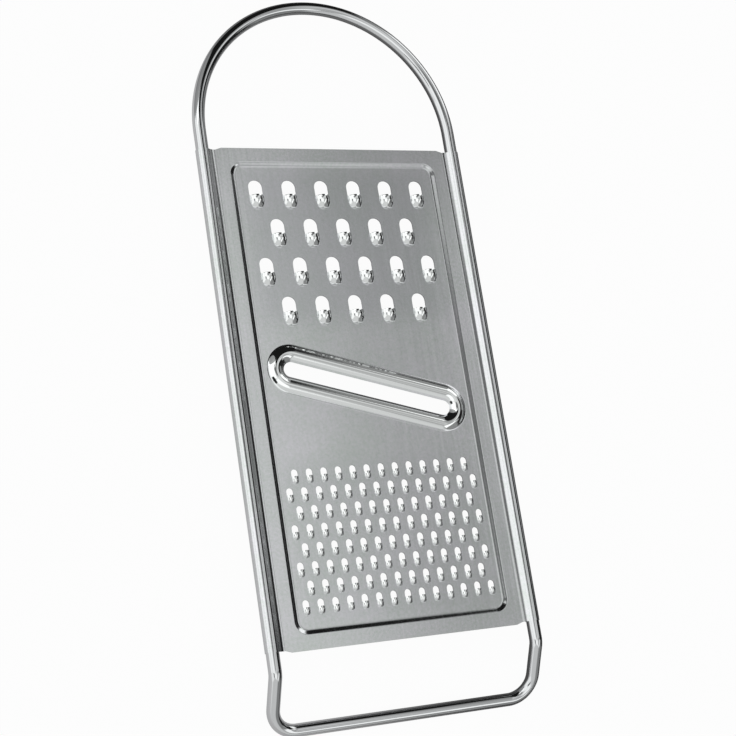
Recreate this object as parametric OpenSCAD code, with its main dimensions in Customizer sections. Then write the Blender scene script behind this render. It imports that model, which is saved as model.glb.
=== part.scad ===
// Flat three-way grater: one pressed sheet held by its rolled edges in a bent wire frame.
// It lies on its back, teeth up, with its length along Y and the handle at +Y.
// All sizes are in millimetres.

/* [Wire frame] */
// Diameter of the frame wire
wire_d = 5; // [4:0.1:6]
// Distance from each side of the panel to the centre line of the rail beside it
rail_clearance = 9.6; // [8.5:0.1:12]
// Straight length of the rails, from the foot's fold to where the handle hoop starts
rail_l = 210.6; // [202:0.1:226]

/* [Foot] */
// Angle by which the foot is folded back from the plate
foot_angle = 31; // [15:1:45]
// Length of the foot from its fold to the centre of the bar
foot_l = 23.2; // [18:0.1:30]
// Centre line radius of the fold in each leg
fold_r = 6; // [5:0.1:9]
// Centre line radius of the foot's two corners
foot_corner_r = 9.8; // [7:0.1:13]

/* [Sheet] */
// Thickness of the steel sheet
sheet_t = 0.4; // [0.3:0.05:0.5]
// Length of the sheet
sheet_l = 196; // [190:0.5:200]
// Height of the sheet's border above the rails' centre lines
border_rise = 0.9; // [0.5:0.1:1.2]
// Middle radius of the hollow between the border and each rolled edge
hollow_r = 4.6; // [4:0.1:5.2]
// Clearance between the wire and the sheet rolled round it
roll_gap = 0.05; // [0.03:0.01:0.1]
// Angle below the wire's centre, on its inner side, where the rolled edge ends
roll_end_angle = 25; // [10:1:60]
// How far the rolled edges stop short of the sheet's ends
roll_setback = 0.8; // [0.4:0.1:1.5]

/* [Sunken panel] */
// Width of the panel, to the outer side of its step
panel_w = 90; // [88:0.5:94]
// Length of the panel, to the outer side of its step
panel_l = 185; // [182:0.5:187]
// Depth of the panel below the border
panel_depth = 1; // [0.6:0.1:1.4]
// Width of the step round the panel
step_w = 2.2; // [1.8:0.1:2.6]
// Radius of the panel's corners, to the outer side of the step
panel_corner_r = 5.5; // [4:0.1:8]

/* [Coarse teeth] */
// Number of teeth in each coarse row
coarse_rows = [6, 5, 6, 5];
// Distance from the panel's side to the middle of the end tooth in a full coarse row
coarse_side_gap = 10; // [7:0.5:12]
// Spacing of the coarse rows, as a share of the panel's length
coarse_row_share = 0.08595; // [0.078:0.00005:0.0865]
// Distance of the first row's lips from the panel's centre, as a share of its length
coarse_first_share = 0.42324; // [0.41:0.0001:0.43]
// Half width of a coarse opening
coarse_open_r = 2.9; // [2.6:0.05:2.95]
// Radius of a coarse hood
coarse_hood_r = 3.15; // [3.1:0.05:3.4]
// Length of a coarse opening, ahead of the lip
coarse_open_l = 6.5; // [5.5:0.1:7]
// Height of a coarse lip above the middle of the sheet
coarse_lip_h = 2.6; // [2:0.1:3]
// Length of a coarse hood, behind the lip
coarse_hood_l = 4.9; // [4:0.1:6]

/* [Fine teeth] */
// Number of teeth in each fine row
fine_rows = [13, 14, 13, 14, 13, 14, 13, 14];
// Distance from the panel's side to the middle of the end tooth in a full fine row
fine_side_gap = 6; // [5.5:0.1:8]
// Spacing of the fine rows, as a share of the panel's length
fine_row_share = 0.03784; // [0.036:0.00002:0.0383]
// Distance of the first row's lips below the panel's centre, as a share of its length
fine_first_share = 0.18054; // [0.17:0.0001:0.183]
// Half width of a fine opening
fine_open_r = 1.35; // [1.2:0.05:1.4]
// Radius of a fine hood
fine_hood_r = 1.55; // [1.5:0.05:1.7]
// Length of a fine opening, ahead of the lip
fine_open_l = 2.8; // [2.4:0.1:3]
// Height of a fine lip above the middle of the sheet
fine_lip_h = 1.25; // [1:0.05:1.5]
// Length of a fine hood, behind the lip
fine_hood_l = 2.8; // [2.4:0.1:3]

/* [Slicing slot] */
// Angle of the slot, falling to the right
slot_angle = 16.4; // [12:0.1:20]
// Distance of the slot's centre below the centre of the sheet
slot_drop = 1.1; // [0:0.1:2]
// How much shorter than the panel's width the opening is, at each end
slot_side_gap = 9.5; // [9:0.5:13]
// Width of the opening
slot_w = 6.2; // [5.6:0.1:7]
// Width of the raised bead round the opening
bead_w = 6.3; // [5:0.1:6.6]
// Height of the bead's crest above the panel
bead_h = 1.6; // [1:0.1:2]
// How far the bead's inner edge lies below the panel
bead_drop = 0.3; // [0:0.1:0.6]

/* [Hidden] */
$fn = 64;
// Slopes across a step, across a bead, across a hollow and round a rolled edge
step_slopes = 6;
bead_slopes = 10;
hollow_slopes = 5;
roll_slopes = 20;
// Width and depth of the slanted corners at the ends of the border, as shares of the hollow's radius
corner_cut_share = 0.55;

// Lengths that meet are rounded to a thousandth of a millimetre, so that they meet exactly
function thousandth(length) = round(length * 1000) / 1000;
wire_r = thousandth(wire_d / 2);
rail_x = thousandth(panel_w / 2 + rail_clearance);
rail_end = thousandth(rail_l / 2);
bend_r = thousandth(fold_r);
corner_r = thousandth(foot_corner_r);
fold_tangent = thousandth(bend_r * tan(foot_angle / 2));
leg_l = thousandth(foot_l) - corner_r - fold_tangent;
// The origin is the bottom centre of the whole: the floor is under the foot's bar
lift = thousandth(foot_l * sin(foot_angle) + wire_r);
shift_y = thousandth((foot_l * cos(foot_angle) - rail_x) / 2);

half_t = thousandth(sheet_t / 2);
border_z = thousandth(border_rise);
panel_z = border_z - thousandth(panel_depth);
panel_x = thousandth(panel_w / 2);
panel_y = thousandth(panel_l / 2);
panel_r = thousandth(panel_corner_r);
step = thousandth(step_w);
slot_r = thousandth(slot_w / 2);
slot_run = thousandth(panel_w / 2 - slot_side_gap) - slot_r;
bead = thousandth(bead_w);
// The teeth of a full row fill the panel's width, and the rows keep their shares of its length
coarse_pitch = thousandth((panel_w - 2 * coarse_side_gap) / (max(coarse_rows) - 1));
coarse_row_pitch = thousandth(panel_l * coarse_row_share);
coarse_first_y = thousandth(panel_l * coarse_first_share);
fine_pitch = thousandth((panel_w - 2 * fine_side_gap) / (max(fine_rows) - 1));
fine_row_pitch = thousandth(panel_l * fine_row_share);
fine_first_y = thousandth(panel_l * fine_first_share);

roll_in_r = wire_r + roll_gap;
roll_mid_r = roll_in_r + half_t;
// The hollow's arc touches the roll's arc, which sets how far the flat border reaches
hollow_z = border_z + hollow_r;
hollow_reach = sqrt(pow(hollow_r + roll_mid_r, 2) - pow(hollow_z, 2));
touch_angle = atan2(hollow_z, hollow_reach);
border_x = thousandth(rail_x - hollow_reach);
sheet_end = thousandth(sheet_l / 2);
roll_end = sheet_end - thousandth(roll_setback);
corner_cut = hollow_r * corner_cut_share;

function arc_point(r, a) = [r * cos(a), r * sin(a)];
function shares(n) = [for (i = [0:n]) i / n];
function reversed(list) = [for (i = [1:len(list)]) list[len(list) - i]];
function cosine_step(share) = (1 - cos(180 * share)) / 2;
function bead_rise(share) = bead_h * sin(180 * share) - bead_drop * (1 - share) * (1 - share);

// Rectangle with round corners, centred
module round_rect(half_w, half_l, r) {
    square([2 * (half_w - r), 2 * half_l], center = true);
    square([2 * half_w, 2 * (half_l - r)], center = true);
    for (sx = [-1, 1]) for (sy = [-1, 1])
        translate([sx * (half_w - r), sy * (half_l - r)]) circle(r = r);
}

// Rectangle with half-round ends, along X and centred
module stadium(half_run, r) {
    square([2 * half_run, 2 * r], center = true);
    for (sx = [-1, 1]) translate([sx * half_run, 0]) circle(r = r);
}

// Flat sheet of an outline, with its middle at a given height
module flat_sheet(z) {
    translate([0, 0, z - half_t]) linear_extrude(2 * half_t) children();
}

// Section of sheet whose middle follows a list of points that runs outward
module sheet_section(middle) {
    upper = [for (p = middle) [p[0], p[1] + half_t]];
    lower = [for (p = middle) [p[0], p[1] - half_t]];
    polygon(concat(upper, reversed(lower)));
}

// Section of the step, from the panel's level out to the border's
module step_section(inner) {
    rise = border_z - panel_z;
    sheet_section([for (s = shares(step_slopes)) [inner + thousandth(s * step), panel_z + rise * cosine_step(s)]]);
}

// Section of the bead, from the opening's edge out to the panel
module bead_section() {
    sheet_section([for (s = shares(bead_slopes)) [slot_r + thousandth(s * bead), panel_z + bead_rise(s)]]);
}

// Straight run of a section along Y, with the section's X outward
module run_along(length) {
    rotate([90, 0, 0]) linear_extrude(length, center = true) children();
}

// Step round the panel: four straight runs and four corners
module panel_step() {
    run_x = panel_x - panel_r;
    run_y = panel_y - panel_r;
    for (turn = [0, 180]) rotate([0, 0, turn]) run_along(2 * run_y) step_section(panel_x - step);
    for (turn = [90, 270]) rotate([0, 0, turn]) run_along(2 * run_x) step_section(panel_y - step);
    for (corner = [[1, 1, 0], [-1, 1, 90], [-1, -1, 180], [1, -1, 270]])
        translate([corner[0] * run_x, corner[1] * run_y, 0])
            rotate([0, 0, corner[2]]) rotate_extrude(angle = 90) step_section(panel_r - step);
}

// Raised bead round the slot: two straight runs and two half-round ends
module slot_bead() {
    for (turn = [90, 270]) rotate([0, 0, turn]) run_along(2 * slot_run) bead_section();
    for (end = [[1, -90], [-1, 90]])
        translate([end[0] * slot_run, 0, 0]) rotate([0, 0, end[1]]) rotate_extrude(angle = 180) bead_section();
}

// Middle of each lip of a field of staggered rows
function lips(rows, pitch, row_pitch, first_y) = [
    for (row = [0:len(rows) - 1]) for (i = [0:rows[row] - 1])
        [(i - (rows[row] - 1) / 2) * pitch, first_y - row * row_pitch]
];
coarse_lips = lips(coarse_rows, coarse_pitch, coarse_row_pitch, coarse_first_y);
fine_lips = lips(fine_rows, fine_pitch, fine_row_pitch, -fine_first_y);

module at_slot() {
    translate([0, -slot_drop, 0]) rotate([0, 0, -slot_angle]) children();
}

function hood_slope(lip_h, length) = atan2(lip_h - half_t, length);

// Round bar that dives through the sheet, its top passing the lip's height at y = 0
module diving_bar(r, top, slope, length) {
    translate([0, 0, top - r / cos(slope)]) rotate([90 + slope, 0, 0])
        translate([0, 0, -r * tan(slope)]) cylinder(h = length, r = r);
}

// Raised hood of a tooth, solid, down to the sheet's underside
module hood(r, lip_h, length) {
    intersection() {
        diving_bar(r, lip_h, hood_slope(lip_h, length), length * 2);
        translate([-r * 2, -length * 2, -half_t]) cube([r * 4, length * 2, lip_h * 2]);
    }
}

// Space under a hood
module hood_space(r, lip_h, length) {
    slope = hood_slope(lip_h, length);
    diving_bar(r - 2 * half_t, lip_h - 2 * half_t / cos(slope), slope, length * 2);
}

// Opening ahead of a lip, as a flat outline
module opening(r, length, overlap) {
    translate([0, length - r]) circle(r = r);
    translate([-r, -overlap]) square([2 * r, length - r + overlap]);
}

// Flat border with slanted corners, open over the panel
module border() {
    y = sheet_end;
    cut_x = border_x - corner_cut;
    right = [[border_x, -roll_end], [border_x, roll_end], [cut_x, y]];
    left = [[-cut_x, y], [-border_x, roll_end], [-border_x, -roll_end]];
    flat_sheet(border_z) difference() {
        polygon(concat(right, left, [[-cut_x, -y], [cut_x, -y]]));
        round_rect(panel_x, panel_y, panel_r);
    }
}

// Hollow and roll along the right-hand edge, gripping the rail
module rolled_edge() {
    roll_from = 180 - touch_angle;
    roll_turn = roll_from + 180 - roll_end_angle;
    // Flat facets lie closer to the centre than their corners, by this factor
    facet = cos(roll_turn / roll_slopes / 2);
    hollow_turns = [for (s = shares(hollow_slopes)) -90 + s * (90 - touch_angle)];
    roll_turns = [for (s = shares(roll_slopes)) roll_from - s * roll_turn];
    outer_hollow = [for (a = hollow_turns) [border_x, hollow_z] + arc_point(hollow_r - half_t, a)];
    inner_hollow = [for (a = hollow_turns) [border_x, hollow_z] + arc_point(hollow_r + half_t, a)];
    outer_roll = [for (a = roll_turns) [rail_x, 0] + arc_point((roll_in_r + 2 * half_t) / facet, a)];
    inner_roll = [for (a = roll_turns) [rail_x, 0] + arc_point(roll_in_r / facet, a)];
    run_along(2 * roll_end)
        polygon(concat(outer_hollow, outer_roll, reversed(concat(inner_hollow, inner_roll))));
}

module panel() {
    flat_sheet(panel_z) difference() {
        round_rect(panel_x - step, panel_y - step, panel_r - step);
        at_slot() stadium(slot_run, slot_r + bead);
        for (p = coarse_lips) translate(p) opening(coarse_open_r, coarse_open_l, coarse_lip_h / 3);
        for (p = fine_lips) translate(p) opening(fine_open_r, fine_open_l, fine_lip_h / 3);
    }
}

module grating_plate() {
    color("silver") difference() {
        union() {
            border();
            rolled_edge();
            mirror([1, 0, 0]) rolled_edge();
            panel_step();
            panel();
            at_slot() slot_bead();
            for (p = coarse_lips) translate([p[0], p[1], panel_z])
                hood(coarse_hood_r, coarse_lip_h, coarse_hood_l);
            for (p = fine_lips) translate([p[0], p[1], panel_z])
                hood(fine_hood_r, fine_lip_h, fine_hood_l);
        }
        for (p = coarse_lips) translate([p[0], p[1], panel_z])
            hood_space(coarse_hood_r, coarse_lip_h, coarse_hood_l);
        for (p = fine_lips) translate([p[0], p[1], panel_z])
            hood_space(fine_hood_r, fine_lip_h, fine_hood_l);
    }
}

// Wire bent round an arc that starts on +X and turns about Z
module wire_arc(r, angle) {
    rotate_extrude(angle = angle) translate([r, 0]) circle(r = wire_r);
}

module handle_hoop() {
    color("lightsteelblue") translate([0, rail_end, 0]) wire_arc(rail_x, 180);
}

// Straight wire inside a rolled edge, and the fold at its foot end
module side_rail(side) {
    color("lightsteelblue") translate([side * rail_x, 0, 0]) {
        translate([0, rail_end, 0]) rotate([90, 0, 0]) cylinder(h = 2 * rail_end - fold_tangent, r = wire_r);
        translate([0, fold_tangent - rail_end, -bend_r]) rotate([180, -90, 0]) wire_arc(bend_r, foot_angle);
    }
}

module side_rail_left() {
    side_rail(-1);
}

module side_rail_right() {
    side_rail(1);
}

// Legs, corners and bar of the foot, which slopes back from the rails' folds
module foot_loop() {
    bar_half = rail_x - corner_r;
    color("lightsteelblue") translate([0, -rail_end, 0]) rotate([foot_angle, 0, 0]) {
        translate([0, -fold_tangent - leg_l, 0]) {
            for (side = [-1, 1]) translate([side * rail_x, 0, 0]) rotate([-90, 0, 0]) cylinder(h = leg_l, r = wire_r);
            for (bend = [[1, -90], [-1, 180]]) translate([bend[0] * bar_half, 0, 0])
                rotate([0, 0, bend[1]]) wire_arc(corner_r, 90);
            translate([-bar_half, -corner_r, 0]) rotate([0, 90, 0]) cylinder(h = 2 * bar_half, r = wire_r);
        }
    }
}

// Puts the frame's own middle plane at its height above the floor
module placed() {
    translate([0, shift_y, lift]) children();
}

placed() grating_plate();
placed() handle_hoop();
placed() side_rail_left();
placed() side_rail_right();
placed() foot_loop();
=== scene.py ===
# %% [markdown]
# # A flat grater in a wire frame
# The real grater is two pieces of stainless steel: a pressed sheet with the teeth and the slicing slot,
# and one bent wire that the sheet's long edges are rolled round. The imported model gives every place. This
# lesson makes both pieces again with finer forms, such as soft folds, hollow teeth and an unbroken wire,
# and gives each its finish.

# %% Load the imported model
import math

import bpy
import numpy as np
from mathutils import Matrix, Vector
from mathutils.geometry import delaunay_2d_cdt


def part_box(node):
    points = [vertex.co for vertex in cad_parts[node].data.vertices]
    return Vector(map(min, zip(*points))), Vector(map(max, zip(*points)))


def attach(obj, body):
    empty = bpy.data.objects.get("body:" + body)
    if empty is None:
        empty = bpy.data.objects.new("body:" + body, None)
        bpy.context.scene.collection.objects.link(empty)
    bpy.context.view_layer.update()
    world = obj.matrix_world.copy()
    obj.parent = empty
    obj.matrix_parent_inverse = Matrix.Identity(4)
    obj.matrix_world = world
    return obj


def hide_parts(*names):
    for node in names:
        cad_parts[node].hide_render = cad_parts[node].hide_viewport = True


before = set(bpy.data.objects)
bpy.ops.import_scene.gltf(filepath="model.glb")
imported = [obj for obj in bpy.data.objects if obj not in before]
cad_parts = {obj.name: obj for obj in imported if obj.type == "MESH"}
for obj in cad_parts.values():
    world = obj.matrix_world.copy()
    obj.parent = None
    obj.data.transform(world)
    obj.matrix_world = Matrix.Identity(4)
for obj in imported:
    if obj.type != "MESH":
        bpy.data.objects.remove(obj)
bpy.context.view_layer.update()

# %% [markdown]
# ## Sizes
# Lengths are in millimetres, as on a workshop drawing, and only the last step of each mesh turns them into
# metres. Pieces are drawn about the sheet's centre, in the plane of the frame's wire, and `to_row` moves a
# drawing to its place in the model.

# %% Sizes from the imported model
MM = 0.001
sheet_low, sheet_high = (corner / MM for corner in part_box("grating_plate"))
hoop_low, hoop_high = (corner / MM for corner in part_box("handle_hoop"))
CENTRE_Y = (sheet_low.y + sheet_high.y) / 2
PLANE_Z = (hoop_low.z + hoop_high.z) / 2
SHEET_END = (sheet_high.y - sheet_low.y) / 2
RAIL_END = hoop_low.y - CENTRE_Y


def to_row(points):
    """Moves drawn points, in millimetres, to their place in the model, in metres."""
    return (np.asarray(points, float) + (0, CENTRE_Y, PLANE_Z)) * MM


print(f"wire plane {PLANE_Z:.2f} mm above the floor, sheet {2 * SHEET_END:.1f} mm long")

# %% [markdown]
# ## The camera
# The viewpoint is a real place: up and to the left of the grater, two thirds of a metre away, with a long
# lens. A long lens keeps the sheet's edges almost parallel. The camera aims at a point near the middle of
# the sheet, and then rolls a little, as the photographer's did.

# %% Camera
CAMERA_PLACE = Vector((-283.1, -158.5, 591.8))
CAMERA_AIM = Vector((1.3, -10.1, 14.45))
CAMERA_ROLL = math.radians(-8.98)
CAMERA_LENS = 83.05
SENSOR = 36
NEAREST_SEEN = 10

forward = (CAMERA_AIM - CAMERA_PLACE).normalized()
side = forward.cross(Vector((0, 1, 0))).normalized()
side = Matrix.Rotation(CAMERA_ROLL, 3, -forward) @ side
camera_data = bpy.data.cameras.new("studio_camera")
camera_data.lens = CAMERA_LENS
camera_data.sensor_width = SENSOR
camera_data.clip_start = NEAREST_SEEN * MM
camera = bpy.data.objects.new("studio_camera", camera_data)
axes = Matrix((side, side.cross(forward), -forward)).transposed()
camera.matrix_world = Matrix.Translation(CAMERA_PLACE * MM) @ axes.to_4x4()
bpy.context.scene.collection.objects.link(camera)
bpy.context.scene.camera = camera
bpy.context.scene.view_settings.view_transform = "Standard"
print("camera distance, mm:", round((CAMERA_AIM - CAMERA_PLACE).length))

# %% [markdown]
# ## The wire
# The real frame is 5 mm wire, bent cold round formers and welded end to end where a rolled edge hides it.
# A curve with a round bevel could draw it, but its corners would need handles that only come near an arc.
# Here each bend is an exact arc, and rings of points are set square to the wire all the way round, so the
# highlights run along it without a break. A station is one such place: where the wire's middle is, which
# way it runs, and the normal of the plane that it is bent in.

# %% Stations on a wire
WIRE_R = 2.5
RAIL_X = 54.6
UP, ACROSS = Vector((0, 0, 1)), Vector((1, 0, 0))


def tilted(slope):
    """The frame plane's normal where the wire has turned down by this slope."""
    return Vector((0, -math.sin(slope), math.cos(slope)))


def straight(start, end, slope, steps):
    """Stations on a straight run."""
    direction = (end - start).normalized()
    return [(start.lerp(end, i / steps), direction, tilted(slope)) for i in range(steps)]


def bend(centre, radius, first, second, angle, slopes, steps):
    """Stations on an arc that starts at the axis called first and turns towards second."""
    stations = []
    for i in range(steps):
        share = i / steps
        a = angle * share
        place = centre + radius * (math.cos(a) * first + math.sin(a) * second)
        direction = math.cos(a) * second - math.sin(a) * first
        stations.append((place, direction, tilted(slopes[0] + (slopes[1] - slopes[0]) * share)))
    return stations


print(f"frame {2 * (RAIL_X + WIRE_R):.1f} mm wide, of {2 * WIRE_R:.1f} mm wire")

# %% [markdown]
# ### The wire's path
# The loop is closed, so it is listed once round: hoop, left rail, foot and right rail. The foot is folded
# back by 31 degrees, and that fold is an arc too, because a wire can't be bent over a sharp edge without
# cracking. A long bend gets more stations than a short one, so all of them look round.

# %% Wire path
FOLD_ANGLE = math.radians(31)
FOLD_R = 6
FOOT_L = 23.2
FOOT_CORNER_R = 9.8
HOOP_STEPS, RAIL_STEPS, FOLD_STEPS = 120, 12, 10
LEG_STEPS, FOOT_CORNER_STEPS, BAR_STEPS = 2, 20, 8


def wire_stations():
    """The whole closed wire: hoop, left rail, foot and right rail."""
    fold_reach = FOLD_R * math.tan(FOLD_ANGLE / 2)
    to_top, to_foot = Vector((0, 1, 0)), Vector((0, -1, 0))
    down = Vector((0, -math.cos(FOLD_ANGLE), -math.sin(FOLD_ANGLE)))
    top, fold_start = Vector((0, RAIL_END, 0)), Vector((0, fold_reach - RAIL_END, 0))
    fold_centre = fold_start - UP * FOLD_R
    fold_end = Vector((0, -RAIL_END, 0)) + down * fold_reach
    corner = Vector((0, -RAIL_END, 0)) + down * (FOOT_L - FOOT_CORNER_R)
    bar = corner + down * FOOT_CORNER_R
    x, inner_x = ACROSS * RAIL_X, ACROSS * (RAIL_X - FOOT_CORNER_R)
    quarter, back = math.pi / 2, (FOLD_ANGLE, FOLD_ANGLE)
    hoop = bend(top, RAIL_X, ACROSS, to_top, math.pi, (0, 0), HOOP_STEPS)
    left = (
        straight(top - x, fold_start - x, 0, RAIL_STEPS)
        + bend(fold_centre - x, FOLD_R, UP, to_foot, FOLD_ANGLE, (0, FOLD_ANGLE), FOLD_STEPS)
        + straight(fold_end - x, corner - x, FOLD_ANGLE, LEG_STEPS)
    )
    foot = (
        bend(corner - inner_x, FOOT_CORNER_R, -ACROSS, down, quarter, back, FOOT_CORNER_STEPS)
        + straight(bar - inner_x, bar + inner_x, FOLD_ANGLE, BAR_STEPS)
        + bend(corner + inner_x, FOOT_CORNER_R, down, ACROSS, quarter, back, FOOT_CORNER_STEPS)
    )
    right = (
        straight(corner + x, fold_end + x, FOLD_ANGLE, LEG_STEPS)
        + bend(fold_centre + x, FOLD_R, tilted(FOLD_ANGLE), -down, FOLD_ANGLE, (FOLD_ANGLE, 0), FOLD_STEPS)
        + straight(fold_start + x, top + x, 0, RAIL_STEPS)
    )
    return hoop + left + foot + right


stations = wire_stations()
print("stations on the wire:", len(stations))

# %% [markdown]
# ### From path to wire
# A ring of 40 points at each station is enough for a round look, because the smooth shading hides the
# facets and the outline is only 12 pixels wide. The same loop writes a UV map in millimetres, round the
# wire and along it, so that the finish can later follow the wire round its bends. Its seam lies on the
# underside.

# %% Wire mesh
WIRE_SIDES = 40


def new_piece(name, points, faces, body="root"):
    """A smooth mesh piece from drawn points, riding on a body of the model."""
    mesh = bpy.data.meshes.new(name)
    mesh.from_pydata([tuple(p) for p in to_row(points)], [], faces)
    mesh.polygons.foreach_set("use_smooth", [True] * len(mesh.polygons))
    piece = bpy.data.objects.new(name, mesh)
    bpy.context.scene.collection.objects.link(piece)
    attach(piece, body)
    return piece


def make_wire(stations):
    points, faces, lengths, run = [], [], [], 0
    round_step = 2 * math.pi * WIRE_R / WIRE_SIDES
    for i, (place, direction, normal) in enumerate(stations):
        beside = direction.cross(normal)
        next_run = run + (stations[(i + 1) % len(stations)][0] - place).length
        ring, next_ring = i * WIRE_SIDES, (i + 1) % len(stations) * WIRE_SIDES
        for j in range(WIRE_SIDES):
            a = 2 * math.pi * j / WIRE_SIDES
            points.append(place - WIRE_R * (math.cos(a) * normal + math.sin(a) * beside))
            k = (j + 1) % WIRE_SIDES
            faces.append((ring + j, ring + k, next_ring + k, next_ring + j))
            near, far = j * round_step, (j + 1) * round_step
            lengths += [(near, run), (far, run), (far, next_run), (near, next_run)]
        run = next_run
    piece = new_piece("wire_frame", points, faces)
    layer = piece.data.uv_layers.new(name="wire_mm")
    layer.uv.foreach_set("vector", np.array(lengths, np.float32).ravel())
    print(f"wire {run:.0f} mm long")
    return piece


wire = make_wire(stations)
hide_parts("handle_hoop", "side_rail_left", "side_rail_right", "foot_loop")
print("wire faces:", len(wire.data.polygons))

# %% [markdown]
# ## The pressed sheet
# The real sheet starts flat, 0.4 mm thick. A press tool sinks the panel, raises the bead round the slot and
# pierces and lifts the teeth, and rollers then close the long edges round the wire. Everything but those
# edges can be written as one height over the flat plan, so the mesh is a plan drawing with a height at each
# point. The height function also gives the exact surface normal, which keeps reflections clean on a shiny
# face. All heights are of the middle of the metal, measured from the wire's middle.

# %% Height of the sheet
HALF_T = 0.2
BORDER_Z = 0.71
PANEL_Z = 0.1
PANEL_X, PANEL_Y, PANEL_R = 45.0, 92.5, 5.5
STEP_W = 2.7
SLOT_ANGLE = math.radians(-16.4)
SLOT_Y = -1.1
SLOT_R = 3.1
SLOT_HALF_L = 35.5
SLOT_RUN = SLOT_HALF_L - SLOT_R
BEAD_W, BEAD_H, BEAD_DROP, BEAD_FILLET = 6.3, 1.6, 0.3, 0.5


def smooth_max(a, b, blend):
    """The larger of two heights, with a fillet where they cross."""
    share = np.clip(0.5 + (a - b) / (2 * blend), 0, 1)
    return b + (a - b) * share + blend * share * (1 - share)


def panel_distance(x, y):
    """Distance outside the panel's rounded outline, below zero inside it."""
    dx, dy = np.abs(x) - (PANEL_X - PANEL_R), np.abs(y) - (PANEL_Y - PANEL_R)
    return np.hypot(np.maximum(dx, 0), np.maximum(dy, 0)) + np.minimum(np.maximum(dx, dy), 0) - PANEL_R


def slot_distance(x, y):
    """Distance from the slot's edge."""
    u = x * math.cos(SLOT_ANGLE) + (y - SLOT_Y) * math.sin(SLOT_ANGLE)
    v = (y - SLOT_Y) * math.cos(SLOT_ANGLE) - x * math.sin(SLOT_ANGLE)
    return np.hypot(np.maximum(np.abs(u) - SLOT_RUN, 0), v) - SLOT_R


def sheet_height(x, y):
    """Height of the middle of the sheet, without its teeth."""
    # The step is flat at both ends and steepest at a third of its width.
    inward = np.clip(-panel_distance(x, y) / STEP_W, 0, 1)
    level = BORDER_Z + (PANEL_Z - BORDER_Z) * (6 * inward**2 - 8 * inward**3 + 3 * inward**4)
    # The bead's arch runs on straight down past its foot, where the fillet joins it to the panel.
    share = slot_distance(x, y) / BEAD_W
    past = np.maximum(share - 1, 0)
    bead = BEAD_H * (np.sin(np.pi * np.minimum(share, 1)) - np.pi * past)
    bead = bead - BEAD_DROP * (1 - np.minimum(share, 1)) ** 2
    return level + np.where(share > 0.5, smooth_max(bead, 0, BEAD_FILLET), bead)


print(f"panel {BORDER_Z - PANEL_Z:.2f} mm below the border, slot {2 * SLOT_HALF_L:.0f} mm long")

# %% [markdown]
# ### Plan drawing
# The plan is built from loops. A loop is a closed row of points, and two loops with as many points each are
# joined by a band of quads. Bands make the step, the bead and each tooth. Normals come from the slopes of
# the height function, taken a thousandth of a millimetre to either side of each point.

# %% Plan drawing
NORMAL_SAMPLE = 0.001
plan = {"points": [], "normals": [], "halves": [], "faces": []}


def surface(x, y, height, dy=0.0):
    """Points on a height function with their normals. dy moves the sample off a torn edge."""
    e = NORMAL_SAMPLE
    slope_x = (height(x + e, y + dy) - height(x - e, y + dy)) / (2 * e)
    slope_y = (height(x, y + dy + e) - height(x, y + dy - e)) / (2 * e)
    normal = np.stack([-slope_x, -slope_y, np.ones_like(slope_x)], 1)
    return np.stack([x, y, height(x, y)], 1), normal / np.linalg.norm(normal, axis=1)[:, None]


def add_points(points, normals, half=HALF_T):
    """Adds points of the sheet's middle, with half the metal's thickness, and returns their numbers."""
    first = sum(len(p) for p in plan["points"])
    plan["points"].append(points)
    plan["normals"].append(normals)
    plan["halves"].append(np.full(len(points), half))
    return list(range(first, first + len(points)))


def add_bands(ids):
    """Quads between nested loops that run the same way round, from the innermost out."""
    n = len(ids[0])
    for inner, outer in zip(ids, ids[1:]):
        plan["faces"] += [(inner[i], outer[i], outer[(i + 1) % n], inner[(i + 1) % n]) for i in range(n)]


def add_loops(loops, height):
    """Joins nested plan loops, from the innermost out, and returns the point numbers of each."""
    ids = [add_points(*surface(loop[:, 0], loop[:, 1], height)) for loop in loops]
    add_bands(ids)
    return ids


across_step = np.linspace(PANEL_X - STEP_W, PANEL_X, 100)
step_normals = surface(across_step, np.zeros_like(across_step), sheet_height)[1]
print(f"the step tilts by up to {math.degrees(math.acos(step_normals[:, 2].min())):.0f} degrees")

# %% [markdown]
# ### Step and bead
# The step round the panel is a soft fold of 0.6 mm over 2.7 mm. It falls quickly at the border and runs out
# slowly into the panel, as a press tool with a sharp upper and a rounded lower edge leaves it. So each of
# its sides tilts by up to 22 degrees and mirrors one part of the room: black on the left and at the foot,
# light at the top. The bead is an arch of 1.6 mm round the slot. Loops lie closer together where it meets
# the panel, because it bends most there.

# %% Step and bead
STEP_LOOPS, CORNER_STEPS, SLOT_END_STEPS = 22, 14, 36
ARCH_LOOPS, FILLET_LOOPS = 20, 16
# The arch's loops end, and the fillet's closer ones start, this far before the bead's foot.
ARCH_SHORT, FILLET_EARLY = 1.2, 1


def round_corners(half_x, half_y, radius, steps):
    """A rounded rectangle, anticlockwise."""
    a = np.linspace(0, math.pi / 2, steps + 1)
    corners = []
    for turn, (sx, sy) in enumerate(((1, 1), (-1, 1), (-1, -1), (1, -1))):
        t = a + turn * math.pi / 2
        centre = (sx * (half_x - radius), sy * (half_y - radius))
        corners.append(np.stack([centre[0] + radius * np.cos(t), centre[1] + radius * np.sin(t)], 1))
    return np.concatenate(corners)


def slot_loop(distance, steps):
    """The slot's outline, grown by a distance, anticlockwise."""
    a = np.linspace(-math.pi / 2, math.pi / 2, steps + 1)
    r = SLOT_R + distance
    right = np.stack([SLOT_RUN + r * np.cos(a), r * np.sin(a)], 1)
    u, v = np.concatenate([right, -right]).T
    c, s = math.cos(SLOT_ANGLE), math.sin(SLOT_ANGLE)
    return np.stack([u * c - v * s, SLOT_Y + u * s + v * c], 1)


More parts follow.
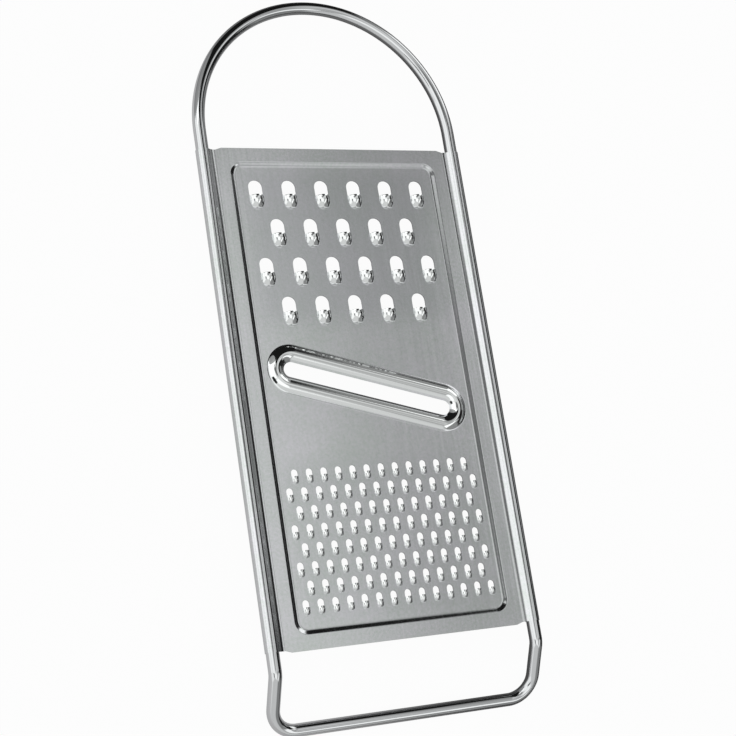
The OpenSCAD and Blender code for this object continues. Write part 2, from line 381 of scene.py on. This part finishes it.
step_places = np.linspace(-STEP_W, 0, STEP_LOOPS)
bead_places = np.r_[np.linspace(0, BEAD_W - ARCH_SHORT, ARCH_LOOPS),
                    np.linspace(BEAD_W - FILLET_EARLY, BEAD_W + 2 * BEAD_FILLET, FILLET_LOOPS)]
step_loops = add_loops(
    [round_corners(PANEL_X + d, PANEL_Y + d, PANEL_R + d, CORNER_STEPS) for d in step_places], sheet_height)
bead_loops = add_loops([slot_loop(d, SLOT_END_STEPS) for d in bead_places], sheet_height)
print("points in the step and the bead:", sum(len(p) for p in plan["points"]))

# %% [markdown]
# ### The form of a tooth
# A tooth is a slit that the press tool opens and lifts: an opening in front, and a hood behind it that ends
# in a sharp lip. The hood is a small dome that is highest just behind the lip, because the punch stretches
# the metal there, and it dives into the sheet with a small fillet round its foot. A tooth is drawn about
# the middle of its lip, so its opening lies at y above 0 and its hood below. `rows` lists the teeth in each
# row, `margin` is how far the drawing of a tooth reaches past it on the flat sheet, and `steps` counts the
# points along the lip, each side and the front end of the opening.

# %% Form of a tooth
TOOTH_SIZES = {
    "coarse": dict(rows=(6, 5, 6, 5), pitch=14, row_pitch=15.9, first_y=78.3, open_r=2.9, open_l=6.5,
                   hood_r=3.15, hood_l=4.9, crest=0.7, lip_h=2.6, fillet=0.3, margin=0.9,
                   steps=(20, 4, 14), rings=10),
    "fine": dict(rows=(13, 14) * 4, pitch=6, row_pitch=7, first_y=-33.4, open_r=1.35, open_l=2.8,
                 hood_r=1.55, hood_l=2.8, crest=0.35, lip_h=1.25, fillet=0.15, margin=0.42,
                 steps=(14, 2, 8), rings=7),
}
FADE_FILLETS = 3


def hood_height(size):
    """The height function of one tooth. Ahead of the lip it fades to 0 over three fillets."""
    top, crest_y, tube_r = size["lip_h"] - HALF_T, -size["crest"], size["hood_r"] - HALF_T

    def height(x, y):
        crown = top * (1 - ((np.minimum(y, 0) - crest_y) / (size["hood_l"] - size["crest"])) ** 2)
        tube = crown - (tube_r - np.sqrt(np.maximum(tube_r**2 - x**2, 0)))
        ahead = np.clip(y / (FADE_FILLETS * size["fillet"]), 0, 1)
        return smooth_max(tube, 0, size["fillet"]) * (1 - ahead * ahead * (3 - 2 * ahead))

    return height


for name, size in TOOTH_SIZES.items():
    print(f"{name} teeth: {sum(size['rows'])}, lip {size['lip_h']} mm above the panel")

# %% [markdown]
# ### Copies of a tooth
# One tooth is drawn once as rings of quads round its opening, with the lip as part of each ring, and is
# then copied to every place in its staggered rows. Rings lie a little closer together at the opening. The
# metal is torn at the lip, so a normal taken right on it would mix the hood with the open air. Points on
# the lip take theirs from just behind it.

# %% Copies of a tooth
RING_POWER = 1.15
LIP_SAMPLE = -0.002


def tooth_loops(size):
    """Nested loops from the opening's edge out to the flat sheet, each starting with the lip."""
    lip_steps, side_steps, front_steps = size["steps"]
    r, straight_l, reach = size["open_r"], size["open_l"] - size["open_r"], size["margin"]
    a = np.linspace(0, math.pi, lip_steps + 1)
    lip = np.stack([-r * np.cos(a), np.zeros_like(a)], 1)
    tail = np.stack([-(r + reach) * np.cos(a), -(size["hood_l"] + reach) * np.sin(a)], 1)
    up = np.linspace(0, straight_l, side_steps + 1)[1:]
    over = np.linspace(0, math.pi, front_steps + 1)[1:]
    ahead = [np.stack([np.full_like(up, q), up], 1) for q in (r, r + reach)]
    front = [np.stack([q * np.cos(over), straight_l + q * np.sin(over)], 1) for q in (r, r + reach)]
    back = [np.stack([np.full_like(up[:-1], -q), up[:-1][::-1]], 1) for q in (r, r + reach)]
    inner = np.concatenate([lip, ahead[0], front[0], back[0]])
    outer = np.concatenate([tail, ahead[1], front[1], back[1]])
    shares = np.linspace(0, 1, size["rings"]) ** RING_POWER
    return [inner + (outer - inner) * share for share in shares]


def add_teeth(size):
    """Copies one tooth to all its places, and returns the outer loop of each copy."""
    height, loops = hood_height(size), tooth_loops(size)
    lip_points = size["steps"][0] + 1
    behind = np.zeros(len(loops[0]))
    behind[:lip_points] = LIP_SAMPLE
    shapes = [surface(loop[:, 0], loop[:, 1], height, behind) for loop in loops]
    outlines = []
    for row, count in enumerate(size["rows"]):
        for i in range(count):
            x, y = (i - (count - 1) / 2) * size["pitch"], size["first_y"] - row * size["row_pitch"]
            ids = [add_points(points + (x, y, PANEL_Z), normals) for points, normals in shapes]
            add_bands(ids)
            outlines.append(ids[-1])
    return outlines


tooth_outlines = [outline for size in TOOTH_SIZES.values() for outline in add_teeth(size)]
print("teeth:", len(tooth_outlines))

# %% [markdown]
# ### The flat metal between them
# What lies between the teeth, the step and the bead is flat. Quads would have to be laid out by hand there,
# so a Delaunay fill closes it with triangles, which do no harm where nothing curves. It is given the outline
# and the loops inside it, and must not add points of its own, or the bands would no longer meet it.

# %% Flat panel
INSIDE_ONLY, SAME_POINT = 1, 1e-7


def fill_flat(outline, holes):
    """Fills the flat sheet between an outline and the loops inside it."""
    ids = [i for loop in [outline, *holes] for i in loop]
    points = np.concatenate(plan["points"])
    starts = np.cumsum([0] + [len(loop) for loop in [outline, *holes]])
    polygons = [list(range(a, b)) for a, b in zip(starts, starts[1:])]
    flat = [Vector(points[i][:2]) for i in ids]
    made, _, faces, first_points, _, owners = delaunay_2d_cdt(flat, [], polygons, INSIDE_ONLY, SAME_POINT)
    if len(made) != len(flat):
        raise ValueError("two outlines of the sheet cross")
    for face, owner in zip(faces, owners):
        if owner == [0]:
            plan["faces"].append(tuple(ids[first_points[v][0]] for v in face))


fill_flat(step_loops[0], [bead_loops[-1], *tooth_outlines])
print("faces so far:", len(plan["faces"]))

# %% [markdown]
# ### Border and rolled edges
# Outside the step the border is flat. Its long sides dip in a hollow and then rise over the wire, go round
# it and end behind it, so the edge seen from the front is a tube with a groove beside it. Rolling stretches
# the metal over the wire, so it's drawn thinner and tight there. The rolled part stops just short of the
# sheet's ends, where the corners are cut at a slant so that the roller doesn't crush them.

# %% Border and rolled edges
HOLLOW_R = 4.6
ROLL_HALF_T, ROLL_GAP = 0.12, 0.02
ROLL_R = WIRE_R + ROLL_GAP + ROLL_HALF_T
ROLL_BACK = 0.8
ROLL_OPEN_DEGREES = 25
CORNER_CUT_SHARE = 0.55
HOLLOW_STEPS, ROLL_STEPS = 12, 48

hollow_z = BORDER_Z + HOLLOW_R
hollow_reach = math.sqrt((HOLLOW_R + ROLL_R) ** 2 - hollow_z**2)
touch_angle = math.atan2(hollow_z, hollow_reach)
roll_end_angle = math.radians(ROLL_OPEN_DEGREES - 180)
border_x, roll_y = RAIL_X - hollow_reach, SHEET_END - ROLL_BACK
cut_x = border_x - CORNER_CUT_SHARE * HOLLOW_R


def roll_section():
    """Points and normals across the right-hand edge: down the hollow, then over and round the wire."""
    hollow_a = np.linspace(-math.pi / 2, -touch_angle, HOLLOW_STEPS + 1)
    roll_a = np.linspace(math.pi - touch_angle, roll_end_angle, ROLL_STEPS + 1)[1:]
    hollow_out = np.stack([np.cos(hollow_a), np.sin(hollow_a)], 1)
    roll_out = np.stack([np.cos(roll_a), np.sin(roll_a)], 1)
    places = np.concatenate([(border_x, hollow_z) + HOLLOW_R * hollow_out, (RAIL_X, 0) + ROLL_R * roll_out])
    return places, np.concatenate([-hollow_out, roll_out])


def add_rolled_edge(right):
    """One rolled edge, and the numbers of its two points on the border: the foot end's, then the top's."""
    places, normals = roll_section()
    ends = []
    for y in (-roll_y, roll_y):
        points = np.stack([right * places[:, 0], np.full(len(places), y), places[:, 1]], 1)
        turned = np.stack([right * normals[:, 0], np.zeros(len(places)), normals[:, 1]], 1)
        ends.append(add_points(points, turned, ROLL_HALF_T))
    for i in range(len(places) - 1):
        face = (ends[0][i], ends[0][i + 1], ends[1][i + 1], ends[1][i])
        plan["faces"].append(face if right > 0 else face[::-1])
    return ends[0][0], ends[1][0]


right_foot, right_top = add_rolled_edge(1)
left_foot, left_top = add_rolled_edge(-1)
corners = np.array([[cut_x, SHEET_END], [-cut_x, SHEET_END], [-cut_x, -SHEET_END], [cut_x, -SHEET_END]])
cut_ids = add_points(np.c_[corners, np.full(4, BORDER_Z)], np.tile((0.0, 0.0, 1.0), (4, 1)))
border_outline = [right_foot, right_top, *cut_ids[:2], left_top, left_foot, *cut_ids[2:]]
fill_flat(border_outline, [step_loops[-1]])
print(f"rolled edges {2 * roll_y:.1f} mm long and {2 * (ROLL_R + ROLL_HALF_T):.1f} mm thick")

# %% [markdown]
# ### From a surface to steel sheet
# A real sheet has two faces and a sheared edge between them. Each point is doubled and moved half the
# thickness along its normal to either side, and every open edge of the drawing gets a strip of rim. The two
# faces carry the exact normals, and the rim stays flat across, so it shows as the thin bright or dark line
# of a cut edge.

# %% Sheet mesh
def open_edges(faces):
    """Edges that only one face uses, each in that face's direction."""
    # A dict keeps their order, where a set could give another mesh on another run.
    edges = {edge: None for face in faces for edge in zip(face, face[1:] + face[:1])}
    return [(a, b) for a, b in edges if (b, a) not in edges]


def make_sheet():
    points, normals = np.concatenate(plan["points"]), np.concatenate(plan["normals"])
    n, faces = len(points), plan["faces"]
    under = [tuple(v + n for v in reversed(face)) for face in faces]
    rim = [(b, a, a + n, b + n) for a, b in open_edges(faces)]
    offsets = np.concatenate(plan["halves"])[:, None] * normals
    both = np.concatenate([points + offsets, points - offsets])
    sheet = new_piece("grating_sheet", both, faces + under + rim)
    mesh = sheet.data
    skin = len(faces) + len(under)
    mesh.polygons.foreach_set("use_smooth", [i < skin for i in range(len(mesh.polygons))])
    corner_points = np.zeros(len(mesh.loops), int)
    mesh.loops.foreach_get("vertex_index", corner_points)
    corner_normals = np.concatenate([normals, -normals])[corner_points]
    for polygon in list(mesh.polygons)[skin:]:
        corner_normals[polygon.loop_start: polygon.loop_start + polygon.loop_total] = polygon.normal
    mesh.normals_split_custom_set(corner_normals)
    print("sheet faces:", len(mesh.polygons), "rim faces:", len(rim))
    return sheet


sheet = make_sheet()
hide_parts("grating_plate")

# %% [markdown]
# ## Finishes
# Both finishes are bare metal, so both use a metallic surface: its colour is what the metal mirrors back,
# and its roughness is how much the image is smeared. Colours are written as hex values, as a colour picker
# shows them, and turned into the linear values that light is added up in. `add_node` adds a node, sets it
# and links its inputs in one call, which keeps each finish readable from top to bottom. A Mix node has its
# colours at sockets 6 and 7 and its plain numbers at 2 and 3, so these have names here.

# %% Helpers for materials
COLOUR_A, COLOUR_B, MIXED_COLOUR = 6, 7, 2
NUMBER_A, NUMBER_B = 2, 3


def linear(hex_colour):
    """An sRGB hex colour as linear RGBA."""
    parts = [int(hex_colour[i:i + 2], 16) / 255 for i in (1, 3, 5)]
    return (*[p / 12.92 if p <= 0.04045 else ((p + 0.055) / 1.055) ** 2.4 for p in parts], 1)


def add_node(tree, kind, links=(), values=(), **settings):
    """Adds a node. links pairs sockets with sources, values pairs sockets with numbers."""
    node = tree.nodes.new(kind)
    for name, value in settings.items():
        if hasattr(node, name):
            setattr(node, name, value)
        else:
            node.inputs[name.replace("_", " ")].default_value = value
    for socket, value in values:
        node.inputs[socket].default_value = value
    for socket, source in links:
        tree.links.new(source, node.inputs[socket])
    return node


def new_material(name):
    material = bpy.data.materials.new(name)
    material.use_nodes = True
    material.node_tree.nodes.clear()
    return material, material.node_tree


print("the middle grey #808080 in linear light:", round(linear("#808080")[0], 3))

# %% [markdown]
# ### Painted shade among the teeth, and a painted highlight on the hoods and the bead
# Among the teeth the sheet's colour is darker than in the plain fields. This is painted shade, where the
# teeth shade the flat metal between them. The hoods and the bead, which stand above the panel, get a brighter
# colour, which is a painted highlight, and a lower roughness, so they are sharper in what they mirror. Each
# is a mask, a number from 0 to 1 over the sheet. Painting it by hand would tie it to one mesh, so it is
# worked
# out from the place on the sheet: windows with soft edges along X and Y, and for the raised parts also the
# height above the panel.

# %% Masks of the painted shade and the painted highlight
FIELD_HALF_X, FIELD_SOFT_X, FIELD_SOFT_Y = 40.5, 6.5, 7
# The middle and half length of each field of teeth along the sheet, and how much painted shade it gets.
TOOTH_FIELDS = ((58, 31, 0.45), (-58, 29, 0.25))
# The painted highlight and the lower roughness come in between these heights above the panel's face.
PLAIN_BELOW, RAISED_ABOVE = 0.15, 0.45
RAISED_HALF_X, RAISED_HALF_Y, RAISED_SOFT = 42, 90, 0.5


def window(tree, length, middle, half, soft, amount=1.0):
    """This amount within half a width of a middle, fading to 0 over a soft edge, all in millimetres."""
    off = add_node(tree, "ShaderNodeMath", [(0, length)], [(1, middle * MM)], operation="SUBTRACT")
    off = add_node(tree, "ShaderNodeMath", [(0, off.outputs[0])], operation="ABSOLUTE")
    return add_node(tree, "ShaderNodeMapRange", [("Value", off.outputs[0])], interpolation_type="SMOOTHSTEP",
                    From_Min=(half + soft) * MM, From_Max=(half - soft) * MM, To_Max=amount).outputs[0]


def multiply(tree, first, *others):
    """The product of several masks."""
    for other in others:
        first = add_node(tree, "ShaderNodeMath", [(0, first), (1, other)], operation="MULTIPLY").outputs[0]
    return first


def teeth_painted_shade_mask(tree, split):
    """How much painted shade darkens the sheet: most among the teeth, 0 in the plain fields."""
    across = window(tree, split.outputs["X"], 0, FIELD_HALF_X, FIELD_SOFT_X)
    fields = [window(tree, split.outputs["Y"], CENTRE_Y + middle, half, FIELD_SOFT_Y, amount)
              for middle, half, amount in TOOTH_FIELDS]
    coarse, fine = (multiply(tree, across, field) for field in fields)
    return add_node(tree, "ShaderNodeMath", [(0, coarse), (1, fine)], operation="ADD").outputs[0]


def raised_highlight_and_gloss_mask(tree, split):
    """1 on the hoods and the bead, which stand above the panel, and 0 elsewhere: where the painted highlight
    and the lower roughness go.
    """
    low, high = ((PLANE_Z + PANEL_Z + HALF_T + z) * MM for z in (PLAIN_BELOW, RAISED_ABOVE))
    above = add_node(tree, "ShaderNodeMapRange", [("Value", split.outputs["Z"])],
                     interpolation_type="SMOOTHSTEP", From_Min=low, From_Max=high)
    return multiply(tree, above.outputs[0],
                    window(tree, split.outputs["X"], 0, RAISED_HALF_X, RAISED_SOFT),
                    window(tree, split.outputs["Y"], CENTRE_Y, RAISED_HALF_Y, RAISED_SOFT))


# From this height up the sheet gets a painted highlight and a lower roughness.
print(f"burnished from {RAISED_ABOVE} mm above the panel's face")

# %% [markdown]
# ### Satin rolled stainless steel
# The sheet is stainless steel as it leaves the rolling mill. Smooth rolls leave it bright but not
# mirror-sharp, so the eye sees clear streaks with soft ends. Three things keep it from looking like
# plastic: pale clouds from uneven pressure, short lines along the rolling direction, and a fine grain. The
# real lines are 0.02 mm wide and the real grain is finer than 0.1 mm. Neither can show in a picture of this
# size, so they are drawn coarser than real, 0.9 and 1.1 mm wide.

# %% Satin rolled stainless steel
ROLL_LINE_MM = (0.9, 28, 0.9)
GRAIN_MM, CLOUD_MM = 1.1, 24
PLAIN_COLOURS = ("#d5dad7", "#e6e4e9")
# Painted shade among the teeth, then a painted highlight on the raised hoods and the bead.
TEETH_PAINTED_SHADE_COLOUR, RAISED_PAINTED_HIGHLIGHT_COLOUR = "#c2c4c6", "#f3f4f4"
SATIN_ROUGHNESS, RAISED_ROUGHNESS = (0.1, 0.15), 0.05
GRAIN_SHARE, SATIN_RELIEF_MM = 0.7, 0.007
# Most of Blender's noise lies within the first range, and most of the sum of two noises within the second.
NOISE_LOW, NOISE_HIGH = 0.3, 0.7
TWO_NOISES_LOW, TWO_NOISES_HIGH = 0.7, 1.3


def satin_rolled_stainless():
    material, tree = new_material("satin_rolled_stainless")
    place = add_node(tree, "ShaderNodeTexCoord").outputs["Object"]
    split = add_node(tree, "ShaderNodeSeparateXYZ", [(0, place)])
    stretch = add_node(tree, "ShaderNodeMapping", [("Vector", place)],
                       Scale=[1 / (w * MM) for w in ROLL_LINE_MM])
    lines = add_node(tree, "ShaderNodeTexNoise", [("Vector", stretch.outputs[0])], Scale=1.0, Detail=2.0)
    grain = add_node(tree, "ShaderNodeTexNoise", [("Vector", place)], Scale=1 / (GRAIN_MM * MM), Detail=2.0)
    cloud = add_node(tree, "ShaderNodeTexNoise", [("Vector", place)], Scale=1 / (CLOUD_MM * MM), Detail=3.0)
    # Colour: clouds and grain, with painted shade among the teeth and a painted highlight on the hoods and
    # the bead.
    mottle = add_node(tree, "ShaderNodeMath", [(0, cloud.outputs[0]), (1, grain.outputs[0])], operation="ADD")
    tint = add_node(tree, "ShaderNodeMapRange", [("Value", mottle.outputs[0])],
                    From_Min=TWO_NOISES_LOW, From_Max=TWO_NOISES_HIGH)
    dark, pale = map(linear, PLAIN_COLOURS)
    plain = add_node(tree, "ShaderNodeMix", [(0, tint.outputs[0])], [(COLOUR_A, dark), (COLOUR_B, pale)],
                     data_type="RGBA")
    # Painted shade among the teeth.
    teeth_shaded = add_node(tree, "ShaderNodeMix",
                      [(0, teeth_painted_shade_mask(tree, split)), (COLOUR_A, plain.outputs[MIXED_COLOUR])],
                      [(COLOUR_B, linear(TEETH_PAINTED_SHADE_COLOUR))], data_type="RGBA")
    raised = raised_highlight_and_gloss_mask(tree, split)
    # Painted highlight on the raised hoods and bead.
    metal = add_node(tree, "ShaderNodeMix", [(0, raised), (COLOUR_A, teeth_shaded.outputs[MIXED_COLOUR])],
                     [(COLOUR_B, linear(RAISED_PAINTED_HIGHLIGHT_COLOUR))], data_type="RGBA")
    # Gloss: the lines vary it, and the raised hoods and bead are smoothest.
    low, high = SATIN_ROUGHNESS
    satin = add_node(tree, "ShaderNodeMapRange", [("Value", lines.outputs[0])],
                     From_Min=NOISE_LOW, From_Max=NOISE_HIGH, To_Min=low, To_Max=high)
    gloss = add_node(tree, "ShaderNodeMix", [(0, raised), (NUMBER_A, satin.outputs[0])],
                     [(NUMBER_B, RAISED_ROUGHNESS)])
    # Relief: mostly grain, with the lines under it.
    relief = add_node(tree, "ShaderNodeMix", [(NUMBER_A, lines.outputs[0]), (NUMBER_B, grain.outputs[0])],
                      [(0, GRAIN_SHARE)])
    bump = add_node(tree, "ShaderNodeBump", [("Height", relief.outputs[0])],
                    Strength=1.0, Distance=SATIN_RELIEF_MM * MM)
    shader = add_node(tree, "ShaderNodeBsdfPrincipled", [
        ("Base Color", metal.outputs[MIXED_COLOUR]), ("Roughness", gloss.outputs[0]),
        ("Normal", bump.outputs[0])], Metallic=1.0)
    add_node(tree, "ShaderNodeOutputMaterial", [("Surface", shader.outputs["BSDF"])])
    return material


sheet.data.materials.append(satin_rolled_stainless())
print("finish of the sheet:", sheet.data.materials[0].name)

# %% [markdown]
# ### Bright drawn stainless wire
# Wire is pulled cold through a hard die, which polishes it brighter than the sheet and leaves very fine
# lines along its length. They catch light across the wire, so a highlight has slightly feathered sides and
# stays crisp along the bend. The pattern follows the wire by its own lengths in millimetres, drawn 0.6 mm
# wide where the real lines are about 0.01 mm.

# %% Bright drawn stainless wire
DIE_LINE_MM = (0.6, 45)
WIRE_COLOURS = ("#d7d8d9", "#e2e2e4")
WIRE_ROUGHNESS, DIE_RELIEF_MM = (0.04, 0.09), 0.002


def bright_drawn_stainless():
    material, tree = new_material("bright_drawn_stainless")
    lengths = add_node(tree, "ShaderNodeUVMap", uv_map="wire_mm")
    stretch = add_node(tree, "ShaderNodeMapping", [("Vector", lengths.outputs[0])],
                       Scale=(1 / DIE_LINE_MM[0], 1 / DIE_LINE_MM[1], 1))
    lines = add_node(tree, "ShaderNodeTexNoise", [("Vector", stretch.outputs[0])], Scale=1.0, Detail=2.0)
    dark, pale = map(linear, WIRE_COLOURS)
    colour = add_node(tree, "ShaderNodeMix", [(0, lines.outputs[0])], [(COLOUR_A, dark), (COLOUR_B, pale)],
                      data_type="RGBA")
    low, high = WIRE_ROUGHNESS
    gloss = add_node(tree, "ShaderNodeMapRange", [("Value", lines.outputs[0])],
                     From_Min=NOISE_LOW, From_Max=NOISE_HIGH, To_Min=low, To_Max=high)
    bump = add_node(tree, "ShaderNodeBump", [("Height", lines.outputs[0])],
                    Strength=1.0, Distance=DIE_RELIEF_MM * MM)
    shader = add_node(tree, "ShaderNodeBsdfPrincipled", [
        ("Base Color", colour.outputs[MIXED_COLOUR]), ("Roughness", gloss.outputs[0]),
        ("Normal", bump.outputs[0])], Metallic=1.0)
    add_node(tree, "ShaderNodeOutputMaterial", [("Surface", shader.outputs["BSDF"])])
    return material


wire.data.materials.append(bright_drawn_stainless())
print("finish of the wire:", wire.data.materials[0].name)

# %% [markdown]
# ## The studio
# Polished steel has hardly a colour of its own: what the eye sees is the room. A product photographer puts
# white boards where an edge should shine and black ones where it needs a dark line, and here it is done the
# same way. Each board is a four-sided patch of the world, so it has no place of its own and looks alike
# from every piece. Boards further down the list lie in front of those above. They light the scene and are
# seen in the steel, but to the camera itself the world is a plain white page.

# %% Boards of the studio
# Each board has four corners, as the compass angle from +X towards +Y and the height, both in degrees,
# then its brightness, where 1 is white, and the softness of its edge in radians.
STUDIO_BOARDS = {
    "wall_right": ((-15, -25), (62, -25), (62, 50), (-10, 50), 0.27, 0.08),
    "dark_skirting_right": ((-34, -25), (19, -25), (19, 24), (-34, 24), 0.26, 0.04),
    "black_card_right": ((-36, -25), (5, -25), (5, 24), (-36, 26), 0.02, 0.03),
    "dark_wall_front_right": ((-72, -25), (-30, -25), (-20, 46), (-62, 46), 0.26, 0.08),
    "dark_wall_right": ((-14, 21), (24, 21), (23, 42), (-8, 43), 0.01, 0.025),
    "overhead_box": ((-38, 55), (58, 53), (150, 55), (240, 45), 0.74, 0.055),
    "overhead_front": ((-72, 56), (-8, 60), (-8, 74), (-90, 74), 0.47, 0.05),
    "front_strip_light": ((-62, 30), (-14, 40), (-12, 49), (-66, 45), 1.2, 0.03),
    "shelf_light": ((-2, 48), (32, 46), (32, 55), (-2, 57), 0.9, 0.03),
    "corner_box": ((27, 10), (46, 10), (46, 44), (27, 44), 1.25, 0.03),
    "zenith_gap": ((60, 70), (146, 61), (180, 80), (40, 80), 0.17, 0.05),
    "front_wall": ((205, -25), (300, -25), (288, 50), (215, 52), 0.68, 0.12),
    "white_wall_left": ((130, 25), (238, 12), (225, -25), (148, -25), 0.7, 0.14),
    "left_softbox": ((126, 52), (204, 67), (200, 30), (146, 32), 1.2, 0.04),
    "left_softbox_edge": ((82, 62), (100, 66), (150, 39), (146, 33), 1.7, 0.03),
    "low_left_softbox": ((181, 42), (222, 38), (216, 3), (184, 3), 1.05, 0.09),
    "low_strip_left": ((150, 31), (183, 31), (183, 1), (150, 1), 1.15, 0.04),
    "front_softbox": ((204, 74), (300, 72), (284, 46), (208, 42), 1.15, 0.07),
    "black_card_left": ((190, 40), (222, 40), (222, 50), (190, 50), 0.02, 0.03),
    "grey_wall_behind": ((110, -20), (152, -20), (148, 28), (112, 38), 0.33, 0.06),
    "black_flag": ((47, 50), (113, 53), (111, -25), (59, -25), 0.01, 0.025),
    "black_flag_corner": ((50, 44), (46, 72), (112, 61), (84, 44), 0.01, 0.025),
}
print("boards in the studio:", len(STUDIO_BOARDS))

# %% [markdown]
# ### From boards to a world
# Seen from the grater, each side of a board lies in a plane through the grater, and a direction is inside
# the board when it is on the inner side of all four planes. So a board's mask is the product of four soft
# steps, one for each side. The mask then lays the board's brightness over that of what is behind it.

# %% World
ROOM_LEVEL = 0.41
ROOM_COLOUR, PAGE_COLOUR = "#fcfefd", "#fcfcfc"


def toward(azimuth, height):
    """The direction of a compass angle, from +X towards +Y, and a height above the floor, in degrees."""
    a, h = math.radians(azimuth), math.radians(height)
    return Vector((math.cos(a) * math.cos(h), math.sin(a) * math.cos(h), math.sin(h)))


def board_mask(tree, direction, corners, edge):
    """1 inside a four-sided patch of the sky, 0 outside, with an edge this soft."""
    points = [toward(*corner) for corner in corners]
    middle = sum(points, Vector()).normalized()
    sides = []
    for a, b in zip(points, points[1:] + points[:1]):
        normal = a.cross(b).normalized()
        normal = normal if normal.dot(middle) > 0 else -normal
        reach = add_node(tree, "ShaderNodeVectorMath", [(0, direction)], [(1, normal)],
                         operation="DOT_PRODUCT")
        side = add_node(tree, "ShaderNodeMapRange", [("Value", reach.outputs["Value"])],
                        interpolation_type="SMOOTHSTEP", From_Min=-edge, From_Max=edge)
        sides.append(side.outputs[0])
    return multiply(tree, *sides)


def make_studio():
    world = bpy.data.worlds.new("studio")
    world.use_nodes = True
    bpy.context.scene.world = world
    tree = world.node_tree
    tree.nodes.clear()
    direction = add_node(tree, "ShaderNodeTexCoord").outputs["Generated"]
    # The first board has the bare room behind it, and every other one has the boards before it.
    behind = []
    for name, (*corners, brightness, edge) in STUDIO_BOARDS.items():
        mask = board_mask(tree, direction, corners, edge)
        board = add_node(tree, "ShaderNodeMapRange", [("Value", mask), *behind], label=name, clamp=False,
                         To_Min=ROOM_LEVEL, To_Max=brightness)
        behind = [("To Min", board.outputs[0])]
    room = add_node(tree, "ShaderNodeBackground", [("Strength", board.outputs[0])], Color=linear(ROOM_COLOUR))
    page = add_node(tree, "ShaderNodeBackground", Color=linear(PAGE_COLOUR), Strength=1.0)
    path = add_node(tree, "ShaderNodeLightPath")
    seen = add_node(tree, "ShaderNodeMixShader", [(0, path.outputs["Is Camera Ray"]), (1, room.outputs[0]),
                                                  (2, page.outputs[0])])
    add_node(tree, "ShaderNodeOutputWorld", [("Surface", seen.outputs[0])])
    return world


world = make_studio()
print("nodes in the world:", len(world.node_tree.nodes))

# %% [markdown]
# ## The floor
# The grater lies on white paper, and the paper shows as the white of the page. The light itself must not be
# raised for that, or the steel would burn out. Instead the paper shows white straight to the camera,
# through a share of plain emission, and the rest is ordinary lit paper that keeps the grater's shadow. The
# steel mirrors the paper brighter on the left, by the softboxes, than on the right and past the handle, so
# what it sees is graded along X and Y.

# %% Floor
PAPER_HALF_M = 3.0
PAPER_COLOUR = "#ececec"
PAGE_SHARE = 0.96
# Two places, in metres from the model's origin, and the brightness that the steel mirrors there.
PAPER_ACROSS = ((-0.1, 0.62), (0.055, 0.08))
PAPER_ALONG = ((0.12, 1), (0.17, 0.4))


def graded(tree, length, places):
    """A brightness that runs smoothly from the first place's to the second's."""
    (start, first), (end, second) = places
    return add_node(tree, "ShaderNodeMapRange", [("Value", length)], interpolation_type="SMOOTHSTEP",
                    From_Min=start, From_Max=end, To_Min=first, To_Max=second).outputs[0]


def white_paper():
    material, tree = new_material("white_paper")
    path = add_node(tree, "ShaderNodeLightPath").outputs
    place = add_node(tree, "ShaderNodeTexCoord")
    split = add_node(tree, "ShaderNodeSeparateXYZ", [(0, place.outputs["Object"])])
    mirrored = multiply(tree, graded(tree, split.outputs["X"], PAPER_ACROSS),
                        graded(tree, split.outputs["Y"], PAPER_ALONG))
    paper = add_node(tree, "ShaderNodeBsdfDiffuse", Color=linear(PAPER_COLOUR))
    page = add_node(tree, "ShaderNodeEmission", Strength=1.0)
    sheen = add_node(tree, "ShaderNodeEmission", [("Strength", mirrored)])
    direct = add_node(tree, "ShaderNodeMath", [
        (0, path["Is Camera Ray"]), (1, path["Is Transmission Ray"])], operation="MAXIMUM")
    share = add_node(tree, "ShaderNodeMath", [(0, direct.outputs[0])], [(1, PAGE_SHARE)],
                     operation="MULTIPLY")
    to_camera = add_node(tree, "ShaderNodeMixShader", [
        (0, share.outputs[0]), (1, paper.outputs[0]), (2, page.outputs[0])])
    to_steel = add_node(tree, "ShaderNodeMixShader", [
        (0, path["Is Glossy Ray"]), (1, to_camera.outputs[0]), (2, sheen.outputs[0])])
    add_node(tree, "ShaderNodeOutputMaterial", [("Surface", to_steel.outputs[0])])
    return material


def make_floor():
    mesh = bpy.data.meshes.new("studio_floor")
    corners = [(x * PAPER_HALF_M, y * PAPER_HALF_M, 0) for x, y in ((-1, -1), (1, -1), (1, 1), (-1, 1))]
    mesh.from_pydata(corners, [], [(0, 1, 2, 3)])
    floor = bpy.data.objects.new("studio_floor", mesh)
    bpy.context.scene.collection.objects.link(floor)
    mesh.materials.append(white_paper())
    return floor


floor = make_floor()
print(f"{floor.name}: {2 * PAPER_HALF_M:.0f} m of {floor.data.materials[0].name}")
